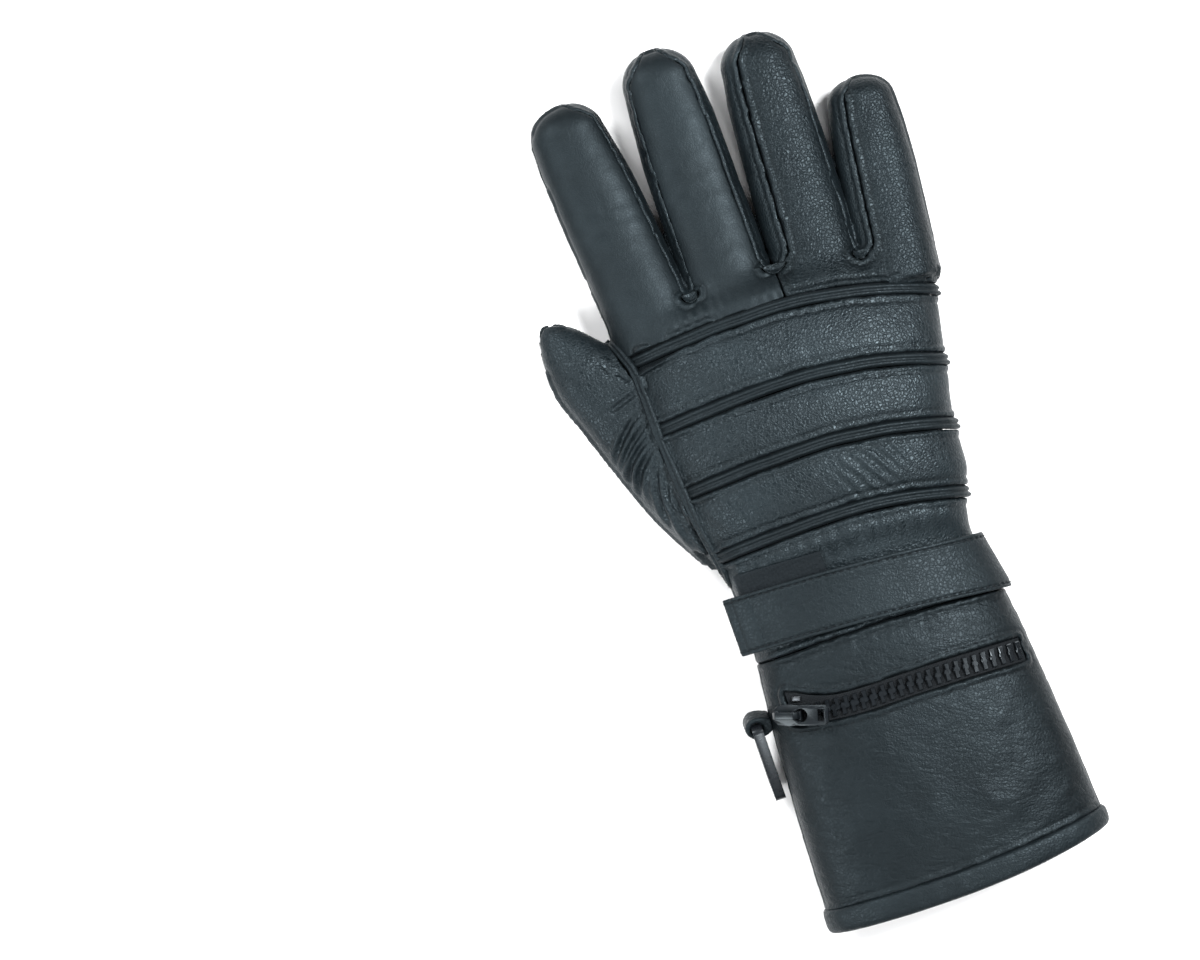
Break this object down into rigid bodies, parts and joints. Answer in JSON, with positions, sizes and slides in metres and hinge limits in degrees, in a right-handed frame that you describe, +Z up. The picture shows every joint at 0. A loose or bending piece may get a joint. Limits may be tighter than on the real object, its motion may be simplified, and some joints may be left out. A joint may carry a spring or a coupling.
{
  "type": "motorcycle gauntlet",
  "caption": "Padded black leather gauntlet for the right hand, with double ribs across the back, a wrist strap, a zip across the flared cuff and a clip at its side.",
  "frame": {"origin": "centre of the glove's footprint on the surface it lies on, palm down", "axes": "+Y from the cuff to the fingertips, +X to the little finger, +Z up out of the back of the hand"},
  "size_m": [0.1614, 0.341, 0.0416],
  "materials": {
    "leather": "satin grained, blue-black, with a soft sheen",
    "palm_leather": "matt to satin, finer grain",
    "loop_pile": "matt looped pile",
    "tape": "matt woven tape",
    "moulded_plastic": "semi-gloss black",
    "black_metal": "gloss black coating",
    "bright_metal": "bright, slightly worn"
  },
  "bodies": {
    "glove": {"fourchette_index_middle": "leather", "fourchette_middle_ring": "leather", "fourchette_ring_little": "leather", "back_index_middle": "leather", "back_ring_little": "leather", "knuckle_panel_1": "leather", "knuckle_panel_2": "leather", "knuckle_panel_3": "leather", "rib_welt_1": "leather", "rib_welt_2": "leather", "rib_welt_3": "leather", "rib_welt_4": "leather", "back_wrist": "leather", "thumb_back": "leather", "thumb_front": "palm_leather", "palm_fingers": "palm_leather", "palm_patch": "palm_leather", "palm_heel": "palm_leather", "cuff_back": "leather", "cuff_palm": "leather", "hem_binding": "leather", "wrist_strap": "leather", "clip_loop": "leather", "loop_patch": "loop_pile", "zip_tape": "tape", "zip_teeth_upper": "moulded_plastic", "zip_teeth_lower": "moulded_plastic", "clip_hook": "moulded_plastic", "zip_slider": "black_metal", "zip_top_stop": "bright_metal"},
    "pull_tab": {"pull_tab": "black_metal"}
  },
  "joints": [
    {"name": "pull_tab_hinge", "type": "hinge", "parent": "glove", "child": "pull_tab", "pos_m": [-0.0358, -0.08539, 0.0367], "axis": [-0.2924, -0.9563, 0], "range_deg": [0, 140]}
  ]
}
